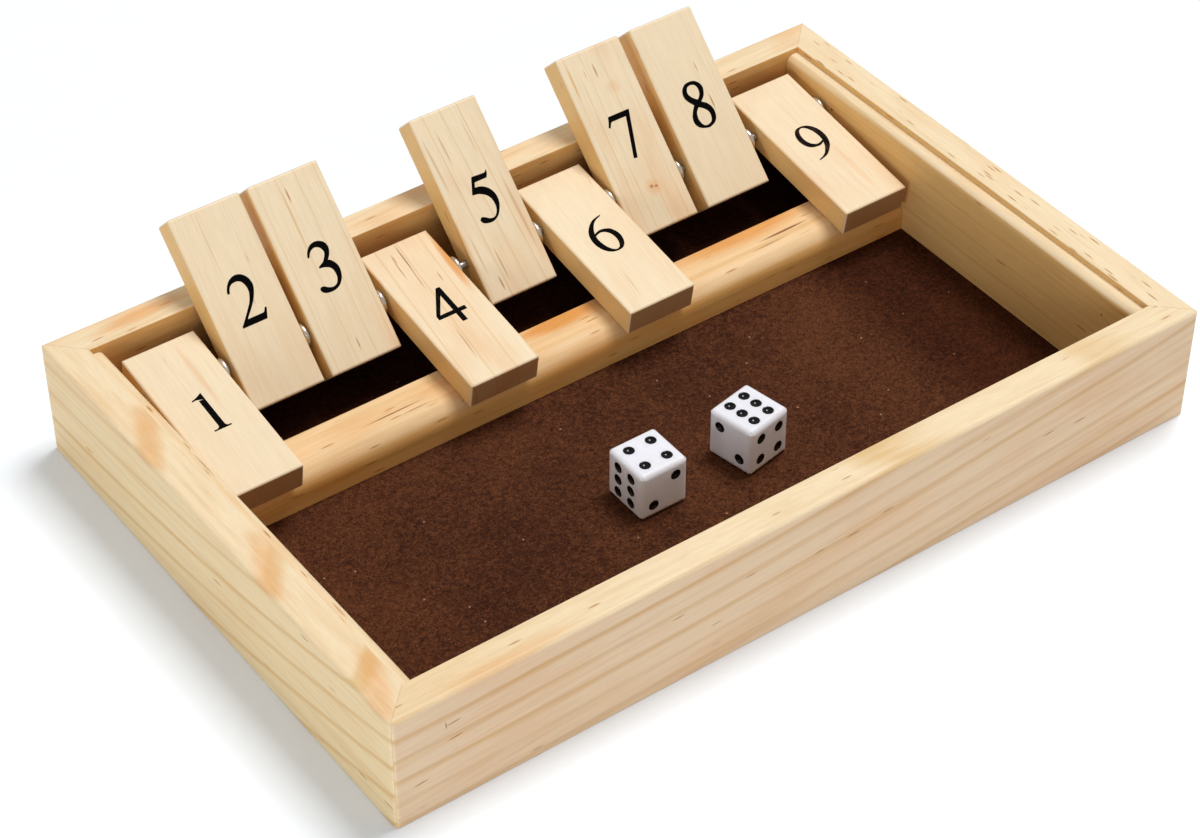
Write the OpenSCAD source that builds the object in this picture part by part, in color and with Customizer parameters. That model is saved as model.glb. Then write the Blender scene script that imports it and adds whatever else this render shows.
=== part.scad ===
// Shut the box: a mitred pine tray with a felt floor, nine numbered tiles that turn over on one
// steel rod, a rail that the turned tiles lie on, and two dice.
//
// Frame: origin at the centre of the tray's underside, +X to the right along the row of tiles,
// +Y from the player to the back wall, +Z up. Millimetres.

/* [Tray] */
// Length of the tray, along the row of tiles
box_l = 280; // [250:1:340]
// Depth of the tray, from the player to the back
box_d = 184; // [165:1:230]
// Height of the four walls
box_h = 39.5; // [36:0.5:50]
// Thickness of the four walls
wall_t = 10.5; // [8:0.5:14]
// Rounding of the outer top edges
edge_r = 1.5; // [0.5:0.1:2.5]
// Rounding of the inner top edges
lip_r = 0.5; // [0.3:0.1:1.5]
// Rounding of the upright outer corners
corner_r = 1.5; // [0.5:0.1:3]

/* [Floor] */
// Thickness of the base board
base_t = 4.5; // [3:0.5:6]
// Width of the rabbet that the base board lies in
rabbet_w = 5; // [3:0.5:7]
// Thickness of the felt
felt_t = 0.8; // [0.5:0.1:2]

/* [Side liners] */
// Thickness of the liner strips on the left and right walls
liner_t = 4.3; // [3:0.1:6]
// How far the liners stay below the top of the walls
liner_drop = 2; // [1:0.5:5]
// Rounding of the liners' top inner edge
liner_r = 2.8; // [1:0.1:2.9]

/* [Rail and well] */
// Depth of the rail, front to back
rail_d = 16.5; // [13:0.5:22]
// Height of the rail above the felt
rail_h = 12.3; // [10:0.1:14]
// Rounding of the rail's top front edge
rail_r = 7; // [4:0.5:9]
// Rounding of the rail's top back edge
rail_back_r = 0.8; // [0.3:0.1:2]
// Depth of the well between the rail and the back wall
well_d = 43.8; // [40:0.1:50]

/* [Rod and spacers] */
// Diameter of the rod that the tiles turn on
rod_d = 2.5; // [2:0.1:4]
// Height of the rod's axis above the felt
rod_rise = 22.6; // [20:0.1:26]
// Distance from the rod's axis to the back wall
rod_back = 18.2; // [16:0.1:20]
// Diameter of the round spacers
spacer_d = 8; // [6:0.1:9]
// Width of the spacers along the rod
spacer_w = 1.6; // [1:0.1:2.4]

/* [Tiles] */
// Even gap between neighbouring tiles
tile_gap = 3.4; // [2.8:0.1:6]
// Thickness of the tiles
tile_t = 9.2; // [7:0.1:11]
// Rounding of every edge of a tile
tile_r = 0.8; // [0.3:0.1:1.5]
// Clearance that the short end of a turning tile keeps from the back wall
tail_gap = 2.7; // [1.5:0.1:5]
// How far the long end of a turned tile reaches past the rail's front
tile_overhang = 3.2; // [1:0.1:8]

/* [Dice] */
// Edge length of the dice
die_s = 16.5; // [12:0.5:18]
// Rounding of the dice's edges
die_r = 1.7; // [1:0.1:3]
// Diameter of the hollowed pips
pip_d = 3.5; // [2:0.1:3.8]
// Depth of the pips
pip_depth = 0.8; // [0.3:0.1:1.2]
// Distance between the corner pips of the faces from two to five
pip_square = 7.7; // [6:0.1:9]
// Distance between neighbouring pips in the rows of three
six_step = 4.6; // [4:0.1:4.8]
// Distance between the two rows of three
six_gap = 6.1; // [4:0.1:8]

/* [Clearances] */
// Clearance round glued pieces that are let in between others
fit_gap = 0.1; // [0.05:0.05:0.3]
// Radial clearance of a tile's bore round the rod
run_gap = 0.06; // [0.02:0.01:0.1]
// Radial clearance of what is pushed on the rod: the spacers and the liners
push_gap = 0.02; // [0.01:0.01:0.05]
// Clearance between a spacer and the tile or liner beside it
side_gap = 0.2; // [0.1:0.05:0.4]
// Clearance between a tile and the edge that it comes to rest on
stop_gap = 0.2; // [0.1:0.05:0.4]
// Clearance between a die and the felt that it lies on
rest_gap = 0.1; // [0.05:0.05:0.2]

/* [Hidden] */
TILES = 9;
TILE_NAMES = [for (i = [1:TILES]) str("tile_", i)];
SPACER_NAMES = [for (i = [1:TILES + 1]) str("spacer_", i)];

$fn = 96;
cut = 1; // how far a cutting tool runs past the faces that it cuts

// Which tiles are turned over, as 1, and which lean on the back wall, as 0
tile_turned = [1, 0, 0, 1, 0, 1, 0, 0, 1];
// Where each tile has slid to along the rod, in shares of the play that one gap has
tile_slid = [-0.4, -0.7, -1.2, -1.4, -0.1, 0.1, -0.9, -0.4, 0.4];
// Where each die lies on the felt: x, y and the angle that it is turned by
left_die_at = [-14.7, -32, 0];
right_die_at = [20.4, -33.7, 11];

// Heights
felt_top = base_t + felt_t;
rail_top = felt_top + rail_h;
rod_z = felt_top + rod_rise;
liner_top = box_h - liner_drop;

// Inner outline of the tray
inner_x = box_l / 2 - wall_t;
inner_y = box_d / 2 - wall_t;
row_x = inner_x - liner_t; // inner face of the liners

// Rail, well and rod, measured forward from the back wall
rail_back_y = inner_y - well_d;
rail_front_y = rail_back_y - rail_d;
rod_y = inner_y - rod_back;
rod_l = 2 * (inner_x - fit_gap);

// Tiles along the row
tile_w = (2 * row_x - (TILES + 1) * tile_gap) / TILES;
tile_pitch = tile_w + tile_gap;
play = max(0, tile_gap - spacer_w - 2 * side_gap);
function tile_x(i) = -row_x + tile_gap + (i - 1) * tile_pitch + tile_slid[i - 1] * play;
function gap_x(i) = i == 1 ? -row_x : tile_x(i - 1) + tile_w; // left end of gap i

// The short end clears the back wall all the way round
tile_tail = sqrt(pow(rod_back - tail_gap, 2) - pow(tile_t / 2, 2));

// Angle at which a tile, lying against a round edge whose centre is dy and dz from the rod, has
// its middle plane when that edge's radius and the clearance are added to half the thickness
function lean(dy, dz, r) = atan2(dz, dy) + asin((tile_t / 2 + r + stop_gap) / norm([dy, dz]));
lean_angle = lean(rod_back + lip_r, box_h - lip_r - rod_z, lip_r);
rail_arc_y = rail_front_y + rail_r;
rail_arc_z = rail_top - rail_r;
drop_angle = -lean(rod_y - rail_arc_y, rail_arc_z - rod_z, rail_r);
tile_reach = (rod_y - rail_front_y + tile_overhang) / cos(drop_angle);
tile_l = tile_tail + tile_reach;

// Dice
pip_sphere_r = (pow(pip_d / 2, 2) + pow(pip_depth, 2)) / (2 * pip_depth);
die_ball_r = sqrt(3) * (die_s / 2 - die_r) + die_r;

// Colours
pine = "#F3D9AE";
pine_light = "#F8E2BE";
ply = "#D9B98A";
felt_brown = "#4A2A1C";
steel = "#B9BDC2";
nickel = "#E4E6EA";
ivory = "#F5F5F2";

// ---------- shared shapes ----------

// Rectangle with its corner at the origin and four round corners
module round_rect(x, y, r) {
    translate([r, 0]) square([x - 2 * r, y]);
    translate([0, r]) square([x, y - 2 * r]);
    for (u = [r, x - r], v = [r, y - r]) translate([u, v]) circle(r);
}

// Block with its corner at the origin and every edge rounded
module round_block(size, r) {
    intersection() {
        linear_extrude(size.z) round_rect(size.x, size.y, r);
        translate([0, size.y, 0]) rotate([90, 0, 0]) linear_extrude(size.y) round_rect(size.x, size.z, r);
        rotate([90, 0, 90]) linear_extrude(size.x) round_rect(size.y, size.z, r);
    }
}

// What a round edge takes off a square corner at the origin that faces +x and +y
module corner_waste(r) {
    difference() {
        translate([-r, -r]) square(r + cut);
        translate([-r, -r]) circle(r);
    }
}

// Moves a profile drawn as depth and height so that it runs along X, centred, for a length
module run_along_x(length) {
    translate([-length / 2, 0, 0]) rotate([90, 0, 90]) linear_extrude(length) children();
}

// ---------- tray ----------

// Cross-section of a wall: its outer face at 0, its inner face at wall_t
module wall_profile() {
    difference() {
        square([wall_t, box_h]);
        translate([0, box_h]) mirror([1, 0]) corner_waste(edge_r);
        translate([wall_t, box_h]) corner_waste(lip_r);
        translate([wall_t - rabbet_w, -cut]) square([rabbet_w + cut, base_t + cut]);
    }
}

// Outline of one wall from above: mitred at both ends, its outer corners round
module wall_outline(length, depth) {
    intersection() {
        translate([-length / 2, -depth / 2]) round_rect(length, depth, corner_r);
        polygon([
            [-length / 2, -depth / 2],
            [length / 2, -depth / 2],
            [length / 2 - wall_t, -depth / 2 + wall_t],
            [-length / 2 + wall_t, -depth / 2 + wall_t]
        ]);
    }
}

// A wall that is drawn as the front one of a tray of this length and depth
module wall(length, depth) {
    color(pine)
    intersection() {
        translate([0, -depth / 2, 0]) run_along_x(length) wall_profile();
        linear_extrude(box_h) wall_outline(length, depth);
    }
}

module front_wall() {
    wall(box_l, box_d);
}

module back_wall() {
    rotate([0, 0, 180]) wall(box_l, box_d);
}

module left_wall() {
    rotate([0, 0, -90]) wall(box_d, box_l);
}

module right_wall() {
    rotate([0, 0, 90]) wall(box_d, box_l);
}

// Lies in the rabbets of the walls, flush with their underside
module base_board() {
    x = 2 * (inner_x + rabbet_w - fit_gap);
    y = 2 * (inner_y + rabbet_w - fit_gap);
    color(ply) translate([-x / 2, -y / 2, 0]) cube([x, y, base_t]);
}

// One sheet between the liners, from the front wall to the back wall
module felt_floor() {
    x = 2 * (row_x - fit_gap);
    y = 2 * (inner_y - fit_gap);
    color(felt_brown) translate([-x / 2, -y / 2, base_t]) cube([x, y, felt_t]);
}

// ---------- liners, rail and rod ----------

// The liner on the right wall: its top inner edge is round, and the rod passes through it
module liner() {
    length = 2 * (inner_y - fit_gap);
    height = liner_top - base_t;
    color(pine)
    difference() {
        translate([inner_x, 0, base_t]) rotate([0, 0, 90]) run_along_x(length)
            difference() {
                square([liner_t, height]);
                translate([liner_t, height]) corner_waste(liner_r);
            }
        translate([row_x - cut, rod_y, rod_z]) rotate([0, 90, 0])
            cylinder(r = rod_d / 2 + push_gap, h = liner_t + 2 * cut);
    }
}

module right_liner() {
    liner();
}

module left_liner() {
    mirror([1, 0, 0]) liner();
}

module tile_rail() {
    color(pine)
    translate([0, rail_front_y, felt_top]) run_along_x(2 * (row_x - fit_gap))
        difference() {
            square([rail_d, rail_h]);
            translate([0, rail_h]) mirror([1, 0]) corner_waste(rail_r);
            translate([rail_d, rail_h]) corner_waste(rail_back_r);
        }
}

module pivot_rod() {
    color(steel) translate([-rod_l / 2, rod_y, rod_z]) rotate([0, 90, 0]) cylinder(d = rod_d, h = rod_l);
}

// Spacer number i: a washer with a fully round rim, pushed on the rod beside what is on its left
module spacer(i) {
    bore_r = rod_d / 2 + push_gap;
    rim_r = (spacer_d - spacer_w) / 2; // centre of the round rim
    color(nickel)
    translate([gap_x(i) + side_gap + spacer_w / 2, rod_y, rod_z]) rotate([0, 90, 0]) rotate_extrude() {
        translate([bore_r, -spacer_w / 2]) square([rim_r - bore_r, spacer_w]);
        translate([rim_r, 0]) circle(d = spacer_w);
    }
}

// ---------- tiles ----------

// Tile number i, bored across near its short end and turned about the rod to where it rests
module number_tile(i) {
    angle = tile_turned[i - 1] ? 180 + drop_angle : lean_angle;
    color(pine_light)
    translate([tile_x(i), rod_y, rod_z]) rotate([angle, 0, 0])
        difference() {
            translate([0, -tile_tail, -tile_t / 2]) round_block([tile_w, tile_l, tile_t], tile_r);
            translate([-cut, 0, 0]) rotate([0, 90, 0])
                cylinder(r = rod_d / 2 + run_gap, h = tile_w + 2 * cut);
        }
}

// ---------- dice ----------

// Places of the pips that show a number on a face, from its centre
function pips(n) = n == 6
    ? [for (along = [-1:1], side = [-0.5, 0.5]) [along * six_step, side * six_gap]]
    : concat(
        n % 2 == 1 ? [[0, 0]] : [],
        n > 1 ? [for (side = [-0.5, 0.5]) [side, side] * pip_square] : [],
        n > 3 ? [for (side = [-0.5, 0.5]) [side, -side] * pip_square] : []
    );

// The hollows of one number, on the face that a turn takes the top face to
module pip_cuts(n, turn) {
    rotate(turn)
        for (p = pips(n))
            translate([p.x, p.y, die_s / 2 + pip_sphere_r - pip_depth])
                sphere(r = pip_sphere_r);
}

// A die centred on the origin. Opposite faces add up to seven.
module die_body() {
    difference() {
        intersection() {
            translate([-die_s / 2, -die_s / 2, -die_s / 2]) round_block([die_s, die_s, die_s], die_r);
            sphere(r = die_ball_r);
        }
        pip_cuts(4, [0, 0, 0]);
        pip_cuts(3, [180, 0, 0]);
        pip_cuts(2, [90, 0, 0]);
        pip_cuts(5, [-90, 0, 0]);
        pip_cuts(6, [0, -90, 0]);
        pip_cuts(1, [0, 90, 0]);
    }
}

// A die that lies on the felt at a place, rolled about its centre to the face that it shows
module die(at, roll) {
    color(ivory)
    translate([at.x, at.y, felt_top + rest_gap + die_s / 2]) rotate([0, 0, at.z]) rotate(roll) die_body();
}

module left_die() {
    die(left_die_at, [0, 0, 0]);
}

module right_die() {
    die(right_die_at, [90, 90, 0]);
}

// ---------- what is drawn ----------

front_wall();
back_wall();
left_wall();
right_wall();
base_board();
felt_floor();
left_liner();
right_liner();
tile_rail();
pivot_rod();
left_die();
right_die();
for (i = [1:TILES]) number_tile(i);
for (i = [1:TILES + 1]) spacer(i);
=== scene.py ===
"""Shut the box game: finishes, printed numerals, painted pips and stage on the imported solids.

Settings are in metres, and tables of boards, marks and strokes in millimetres. Every piece is laid
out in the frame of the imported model, with its place in its mesh and its object at the origin.
"""

import math
from functools import partial

import bpy
import numpy as np
from bpy.props import FloatProperty, FloatVectorProperty, PointerProperty
from mathutils import Euler, Matrix, Vector


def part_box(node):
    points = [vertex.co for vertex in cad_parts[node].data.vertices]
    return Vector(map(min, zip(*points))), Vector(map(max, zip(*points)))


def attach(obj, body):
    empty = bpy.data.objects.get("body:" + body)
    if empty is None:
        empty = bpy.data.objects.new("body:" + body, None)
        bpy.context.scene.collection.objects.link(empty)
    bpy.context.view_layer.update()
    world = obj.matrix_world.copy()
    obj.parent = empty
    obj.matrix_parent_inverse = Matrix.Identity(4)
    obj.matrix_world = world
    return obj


bl_info = {
    "name": "Shut the box game",
    "version": (1, 0, 0),
    "blender": (4, 5, 0),
    "location": "3D View > Sidebar > Shut the Box",
    "description": "Dresses a nine-tile shut the box game with pine, felt, metal, ink and dice",
    "category": "Object",
}

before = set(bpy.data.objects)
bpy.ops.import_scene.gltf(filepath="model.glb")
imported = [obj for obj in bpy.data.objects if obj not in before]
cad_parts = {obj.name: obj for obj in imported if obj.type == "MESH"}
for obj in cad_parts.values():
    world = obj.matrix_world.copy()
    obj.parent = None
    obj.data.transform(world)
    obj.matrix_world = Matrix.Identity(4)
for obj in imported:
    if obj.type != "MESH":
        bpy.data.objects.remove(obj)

MM = 0.001
TILE_COUNT = 9
SPACER_COUNT = 10


def srgb(code):
    """Linear colour with alpha from a six-digit sRGB hex code."""
    parts = np.array([int(code[i : i + 2], 16) for i in (0, 2, 4)]) / 255
    low, high = parts / 12.92, ((parts + 0.055) / 1.055) ** 2.4
    return (*np.where(parts <= 0.04045, low, high).tolist(), 1.0)


# ---- settings


def colour(name, description, code):
    """A colour property whose default is an sRGB hex code."""
    return FloatVectorProperty(
        name=name, description=description, default=srgb(code),
        subtype="COLOR", size=4, min=0, max=1,
    )


def length(name, description, millimetres):
    """A length property in metres whose default is given in millimetres."""
    return FloatProperty(
        name=name, description=description, default=millimetres * MM,
        unit="LENGTH", min=0, precision=5,
    )


def angle(name, description, degrees):
    """An angle property whose default is given in degrees."""
    return FloatProperty(
        name=name, description=description, default=math.radians(degrees), subtype="ANGLE"
    )


def light_share(name, description, amount):
    """A property for a share of the light, of which one shows a colour as it is written."""
    return FloatProperty(name=name, description=description, default=amount, min=0)


class PineSettings(bpy.types.PropertyGroup):
    """Colours of the sealed pine."""

    pale: colour("Earlywood", "Pale wood between the growth rings", "FBE4BD")
    streak: colour("Streak", "Soft darker streaks along the grain", "E8C18A")
    late: colour("Latewood", "Dark side of a growth ring", "D8A445")
    warm: colour("Heartwood", "Orange tint of heartwood patches", "EBA252")
    duct: colour("Resin duct", "Short dashes where a resin duct is cut lengthwise", "BE8446")
    resin: colour("Resin", "Pitch streaks, seams and small knots", "94582B")
    tile: colour("Tile wood", "Paler sapwood that the tiles are cut from", "FBE6C3")
    rail: colour("Rail wood", "More orange pine of the tile rail", "FBD5A2")
    # Painted shade: multiplies the inner faces of the walls and liners, the rail's front and the
    # tiles' sides
    edge: colour("Shaded face", "Painted shade: multiplies a face that lies in shade", "F3DDB0")
    # Painted shade: multiplies the back wall's inner face, which lies in shade
    inner: colour("Inner face shade", "Painted shade: multiplies the back wall's inner face", "F2D4A4")
    # Painted shade tint: a yellower colour for the left wall's outer face
    straw: colour("Left face tint", "Painted shade tint: multiplies the left wall's outer face", "FBFBF3")
    # Painted shade tint: a redder colour for the front wall's outer face
    tan: colour("Front face tint", "Painted shade tint: multiplies the front wall's outer face", "FBF5F9")
    # Real end-grain darkening, deepened with painted shade
    end: colour("End grain", "Multiplies an end: end grain soaks up most sealer, deepened with painted shade", "B6967A")


class InkSettings(bpy.types.PropertyGroup):
    """Size and colour of the printed numerals."""

    height: length("Height", "Height of a numeral", 15.0)
    rise: length("Rise", "How far a numeral sits above the middle of its face", 0.6)
    proud: length("Ink thickness", "How far the ink stands on the wood", 0.04)
    sunk: length("Ink soak", "How far the ink goes into the wood", 0.03)
    black: colour("Ink", "Black printing ink", "070606")
    thin: colour("Thin ink", "Where the grain shows through the ink", "3A2A1C")


class FeltSettings(bpy.types.PropertyGroup):
    """Colours of the felt on the floor of the tray."""

    dark: colour("Felt", "Body of the felt", "412216")
    light: colour("Nap", "Felt where its nap lies the other way", "6C4028")
    lint: colour("Lint", "Specks of lint", "C9A58C")


class DiceSettings(bpy.types.PropertyGroup):
    """The moulded dice and the paint in their pips."""

    plastic: colour("Plastic", "Moulded plastic of the dice", "F3F4FE")
    paint: colour("Paint", "Enamel in the pips", "060607")
    pip_width: length("Pip width", "Width of a hollowed pip", 3.5)
    pip_depth: length("Pip depth", "Depth of a hollowed pip", 0.8)
    square: length("Pip square", "Between the corner pips of the faces from two to five", 7.7)
    six_step: length("Six step", "Distance between neighbouring pips in a row of three", 4.6)
    six_gap: length("Six gap", "Distance between the two rows of three", 6.1)
    coat: length("Paint thickness", "Thickness of the paint over the hollow", 0.04)
    left_turn: angle("Left die turn", "Turn of the left die on the felt", 0.0)
    right_turn: angle("Right die turn", "Turn of the right die on the felt", 11.0)


class MetalSettings(bpy.types.PropertyGroup):
    """Colours of the rod and the spacers."""

    steel: colour("Steel", "Drawn steel of the rod", "B9BABD")
    nickel: colour("Nickel", "Nickel plate on the spacers", "F2F0EB")


class StageSettings(bpy.types.PropertyGroup):
    """Camera, lamps and floor."""

    azimuth: angle("Camera azimuth", "Angle round the object", -35.93465)
    elevation: angle("Camera elevation", "Angle above the floor", 41.2601)
    distance: length("Camera distance", "From the camera to the point it looks at", 933.034)
    target: FloatVectorProperty(
        name="Camera target", description="Point that the camera looks at",
        default=(-0.002569, 0.007878, 0.0), subtype="TRANSLATION", unit="LENGTH",
    )
    lens: FloatProperty(
        name="Lens", description="Focal length in millimetres", default=93.947, unit="CAMERA"
    )
    floor: colour("Floor", "Matt white table", "F0F0F0")
    sky: light_share("Sky light", "Share of the light from all round", 0.4)
    key: light_share("Key light", "Share from the overhead lamp, where it is faced", 0.65)
    side: light_share("Side light", "Share from the low left lamp, where it is faced", 0.24)


# ---- materials


SMOOTH = {"interpolation_type": "SMOOTHSTEP"}  # settings of nodes that are used often
BLEND = {"data_type": "RGBA"}
TINT = {"data_type": "RGBA", "blend_type": "MULTIPLY"}


def add_node(tree, kind, inputs=(), **settings):
    """Add one shader node with its settings and links.

    Inputs come in the order of the node's active sockets, or by name. Each is a plain value, a
    socket, or another node, which stands for its first active output.
    """
    made = tree.nodes.new("ShaderNode" + kind)
    for key, value in settings.items():
        setattr(made, key, value)
    active = [socket for socket in made.inputs if socket.enabled]
    named = inputs if isinstance(inputs, dict) else dict(enumerate(inputs))
    for key, value in named.items():
        socket = active[key] if isinstance(key, int) else made.inputs[key]
        if isinstance(value, bpy.types.Node):
            value = next(output for output in value.outputs if output.enabled)
        if isinstance(value, bpy.types.NodeSocket):
            tree.links.new(value, socket)
        else:
            socket.default_value = value
    return made


def new_material(name):
    """An empty material, what adds nodes to it, and a node with the place in millimetres."""
    material = bpy.data.materials.new(name)
    material.use_nodes = True
    material.node_tree.nodes.clear()
    add = partial(add_node, material.node_tree)
    place = add("VectorMath", (add("TexCoord").outputs["Object"], 1 / MM), operation="SCALE")
    return material, add, place


def paint_node(node, material):
    """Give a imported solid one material."""
    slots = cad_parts[node].data.materials
    slots.clear()
    slots.append(material)


# ---- pine

# What a board is like unless it says otherwise. ring is the width of a growth ring, and rings how
# many lie inside the one that passes through the point line. grain and bark are the directions of
# the fibres and of the bark. bow bends the rings per millimetre squared, and wander is how far
# they stray. Latewood starts at the share soft of a ring's width, is darkest from the share full
# on and ends from the share drop on. strength, streak and warm are how much the latewood, the
# streaks and the orange patches show, and ducts is the share of places that hold a resin duct.
# edges are the directions of faces with a painted shade tint of their own, which stands in for
# the shade on those faces, and marks are spots: a point, half the length and half the width, a
# colour and how much of it shows.
BOARD = {
    "ring": 6.0, "rings": 12, "bow": 0.0, "wander": 3.0, "soft": 0.75, "full": 0.96, "drop": 0.97,
    "strength": 0.5, "streak": 0.3, "warm": 0.3, "ducts": 0.1, "base": "pale",
    "edges": (), "marks": (),
}
PINE_NOISE = {  # size along the grain, across it and towards the bark, and how much fine detail
    "wander": ((90, 22, 22), 1.0),
    "streak": ((60, 1.8, 1.8), 3.0),
    "fibre": ((9, 0.5, 0.5), 2.0),
    "cloud": ((40, 12, 12), 1.5),
}
STREAK_RANGE, CLOUD_RANGE = (0.42, 0.72), (0.45, 0.72)  # noise over which a layer comes in
PALEST_LINE = 0.3  # what is left of the palest latewood line
DUCT_CELL = (12, 1.5, 1.5)  # room for one resin duct
DUCT_REACH, DUCT_STRENGTH = (0.1, 0.26), 0.8  # where it begins to fade and ends, in that room
SPOT_RAG, SPOT_REACH = 0.8, (0.7, 1.5)  # how ragged a mark is, and where it fades out
# The tint that a face takes this way is painted shade, or end grain deepened with painted shade
FACING = (0.75, 0.99)  # how squarely a face looks along a direction to take that direction's tint
SEAM_WIDTH, SEAM_STRENGTH = 0.16, 0.3


def log_of(board):
    """Place of the log that a board was sawn from: X runs along the grain and Z to the bark.

    The heart lies rings times ring behind the point line, so a growth ring passes through it.
    """
    along, outward = Vector(board["grain"]).normalized(), Vector(board["bark"])
    outward = (outward - outward.dot(along) * along).normalized()
    turn = Matrix((along, outward.cross(along), outward)).transposed()
    heart = Vector(board["line"]) - outward * board["ring"] * board["rings"]
    return Matrix.Translation(heart) @ turn.to_4x4()


def pine(name, wood, board, seams=False):
    """Clear-sealed, planed pine, sawn from one log.

    Growth rings are cylinders round the log's heart: pale earlywood darkens outwards to a
    latewood line with a sharp far side. Slow noise makes them wander, and they bow with the
    square of the way along. Long thin noise gives streaks and fibres, and short dark dashes are
    resin ducts. Ends are darker, because end grain soaks up more sealer, and their tint is
    deepened with painted shade. Faces that look along the directions in a board's edges are
    multiplied by a painted shade colour. The sealer gives a satin sheen.
    """
    board = {**BOARD, **board}
    log = log_of(board)
    along = log.col[0].xyz
    material, add, place = new_material(name)
    inputs = {"Vector": place, "Location": log.translation, "Rotation": log.to_euler()}
    at = add("Mapping", inputs, vector_type="TEXTURE")
    noise = {}
    for key, (size, detail) in PINE_NOISE.items():
        scaled = add("VectorMath", (at, size), operation="DIVIDE")
        noise[key] = add("TexNoise", (scaled, 1.0, detail))

    lengthwise = add("SeparateXYZ", (at,))
    squared = add("Math", (lengthwise, lengthwise), operation="MULTIPLY")
    cross = add("VectorMath", (at, (0, 1, 1)), operation="MULTIPLY")
    radius = add("VectorMath", (cross,), operation="LENGTH")
    radius = add("Math", (squared, board["bow"], radius), operation="MULTIPLY_ADD")
    radius = add("Math", (noise["wander"], board["wander"], radius), operation="MULTIPLY_ADD")
    phase = (radius, 1 / board["ring"], -board["wander"] / 2 / board["ring"])
    phase = add("Math", phase, operation="MULTIPLY_ADD")
    within = add("Math", (phase,), operation="FRACT")
    number = add("Math", (phase,), operation="FLOOR")
    luck = add("TexWhiteNoise", (number,), noise_dimensions="1D")
    late = (within, board["soft"], board["full"], 0.0, board["strength"])
    late = add("MapRange", late, **SMOOTH)
    far_side = add("MapRange", (within, board["drop"], 1.0, 1.0, 0.0), **SMOOTH)
    fortune = add("MapRange", (luck, 0.0, 1.0, PALEST_LINE, 1.0))
    for share in (far_side, fortune):
        late = add("Math", (late, share), operation="MULTIPLY")

    cells = add("VectorMath", (at, DUCT_CELL), operation="DIVIDE")
    duct = add("TexVoronoi", (cells, 1.0))
    pick = add("SeparateColor", (duct.outputs["Color"],))
    chosen = add("Math", (pick, 1 - board["ducts"]), operation="GREATER_THAN")
    duct = add("MapRange", (duct, *DUCT_REACH, DUCT_STRENGTH, 0.0), **SMOOTH)
    duct = add("Math", (duct, chosen), operation="MULTIPLY")

    streak = (noise["streak"], *STREAK_RANGE, 0.0, board["streak"])
    streak = add("MapRange", streak, **SMOOTH)
    warmth = (noise["cloud"], *CLOUD_RANGE, 0.0, board["warm"])
    warmth = add("MapRange", warmth, **SMOOTH)
    layers = [(streak, wood.streak), (warmth, wood.warm), (late, wood.late), (duct, wood.duct)]
    for centre, (half_length, half_width), kind, strength in board["marks"]:
        offset = add("VectorMath", (at, log.inverted() @ Vector(centre)), operation="SUBTRACT")
        scaled = (offset, (half_length, half_width, half_width))
        scaled = add("VectorMath", scaled, operation="DIVIDE")
        away = add("VectorMath", (scaled,), operation="LENGTH")
        ragged = add("Math", (noise["streak"], SPOT_RAG, away), operation="MULTIPLY_ADD")
        spot = add("MapRange", (ragged, *SPOT_REACH, strength, 0.0), **SMOOTH)
        layers.append((spot, getattr(wood, kind)))
    shade = getattr(wood, board["base"])
    for share, tint in layers:
        shade = add("Mix", (share, shade, tint), **BLEND)

    # Painted shade: a face that looks along a direction in edges is multiplied by that direction's
    # colour, and ends by the end-grain colour, which is real end-grain darkening deepened with
    # painted shade
    normal = add("TexCoord").outputs["Normal"]
    for way, kind in ((along, "end"), (-along, "end"), *board["edges"]):
        facing = add("VectorMath", (normal, way), operation="DOT_PRODUCT")
        facing = add("MapRange", (facing, *FACING), **SMOOTH)
        shade = add("Mix", (facing, shade, getattr(wood, kind)), **TINT)
    if seams:
        shade = add("Mix", (mitre_seam(add, place), shade, wood.resin), **BLEND)
    thread = add("MapRange", (noise["fibre"], 0.25, 0.75, 0.93, 1.0), **SMOOTH)
    shade = add("Mix", (1.0, shade, thread), **TINT)

    height = add("Math", (late, 0.5, noise["fibre"]), operation="MULTIPLY_ADD")
    height = add("Math", (height, duct), operation="SUBTRACT")
    bump = add("Bump", {"Height": height, "Strength": 0.3, "Distance": 0.05 * MM})
    gloss = add("MapRange", (noise["fibre"], 0.2, 0.8, 0.42, 0.56), **SMOOTH)
    inputs = {
        "Base Color": shade, "Roughness": gloss, "Normal": bump, "Specular IOR Level": 0.3,
        "Coat Weight": 0.05, "Coat Roughness": 0.3,
    }
    add("OutputMaterial", (add("BsdfPrincipled", inputs),))
    return material


def mitre_seam(add, place):
    """Glue line of the mitres: near the plane where two walls meet.

    On the plane through a corner, the distance from the left or right face equals the distance
    from the front or back face.
    """
    low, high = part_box("front_wall")
    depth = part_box("left_wall")[1].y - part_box("left_wall")[0].y
    difference = (high.x - low.x - depth) / 2 / MM
    size = add("VectorMath", (place,), operation="ABSOLUTE")
    parts = add("SeparateXYZ", (size,)).outputs
    gap = add("Math", (parts["X"], parts["Y"]), operation="SUBTRACT")
    gap = add("Math", (gap, difference), operation="SUBTRACT")
    gap = add("Math", (gap,), operation="ABSOLUTE")
    return add("MapRange", (gap, SEAM_WIDTH / 2, SEAM_WIDTH, SEAM_STRENGTH, 0.0), **SMOOTH)


# On each wall, edges give painted shade to the inner face, and on the left and front walls a
# painted shade tint to the outer face
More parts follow.
